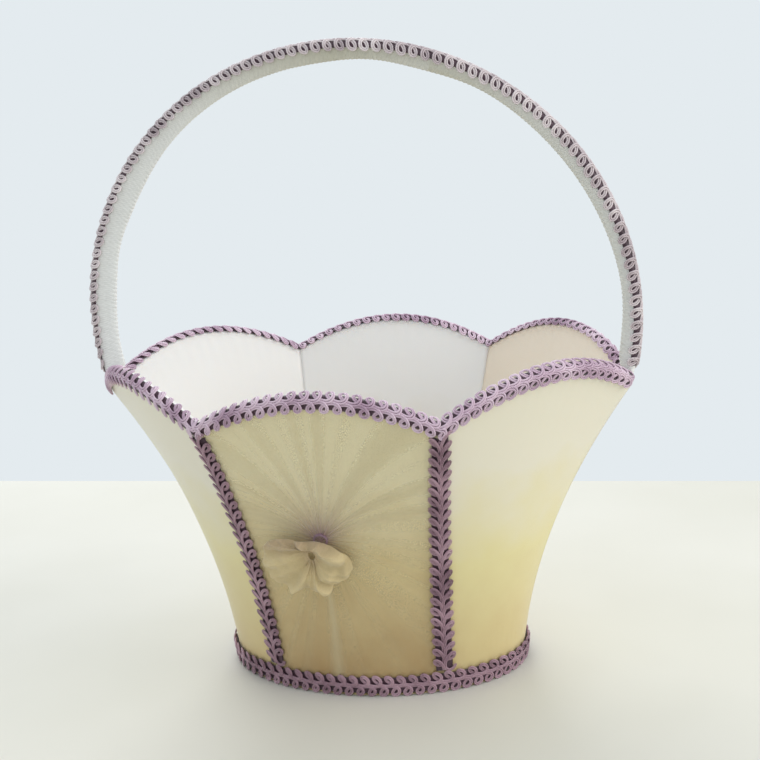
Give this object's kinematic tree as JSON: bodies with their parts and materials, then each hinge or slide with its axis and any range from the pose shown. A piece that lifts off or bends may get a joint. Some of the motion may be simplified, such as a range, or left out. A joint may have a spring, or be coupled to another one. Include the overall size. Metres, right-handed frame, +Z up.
{
  "type": "flower girl basket",
  "caption": "Small hoop-handled basket on a scalloped wire frame, covered in ivory satin and edged with lavender scroll gimp, with a gathered tulle rosette on the front.",
  "frame": {"origin": "middle of the underside, on the surface that the basket stands on", "axes": "+Z up; +X along the basket towards its right handle foot; -Y towards the front side, which carries the rosette"},
  "size_m": [0.2672, 0.1664, 0.2964],
  "materials": {
    "wire": "drawn steel wire, soldered",
    "board": "plain hardboard",
    "cover_satin": "stretched ivory satin, soft sheen",
    "lining_satin": "stretched pale satin, soft sheen",
    "tulle": "fine gathered silk tulle, matte",
    "sleeve_chiffon": "sheer ruched chiffon, matte",
    "gimp": "rayon scroll gimp braid, soft gloss",
    "thread": "spun sewing thread"
  },
  "bodies": {
    "root": {"rim_wire": "wire", "base_wire": "wire", "handle_wire": "wire", "right_rib_wire": "wire", "back_right_rib_wire": "wire", "back_left_rib_wire": "wire", "left_rib_wire": "wire", "front_left_rib_wire": "wire", "front_right_rib_wire": "wire", "base_board": "board", "bottom_cloth": "cover_satin", "floor_lining": "lining_satin", "back_right_side_cover": "cover_satin", "back_right_side_lining": "lining_satin", "back_side_cover": "cover_satin", "back_side_lining": "lining_satin", "back_left_side_cover": "cover_satin", "back_left_side_lining": "lining_satin", "front_left_side_cover": "cover_satin", "front_left_side_lining": "lining_satin", "front_side_cover": "cover_satin", "front_side_lining": "lining_satin", "front_right_side_cover": "cover_satin", "front_right_side_lining": "lining_satin", "front_tulle": "tulle", "rosette": "tulle", "rosette_tie": "thread", "front_rim_gimp": "gimp", "back_rim_gimp": "gimp", "base_gimp": "gimp", "back_right_rib_gimp": "gimp", "back_left_rib_gimp": "gimp", "front_left_rib_gimp": "gimp", "front_right_rib_gimp": "gimp", "handle_gimp": "gimp", "handle_sleeve": "sleeve_chiffon"}
  },
  "joints": []
}
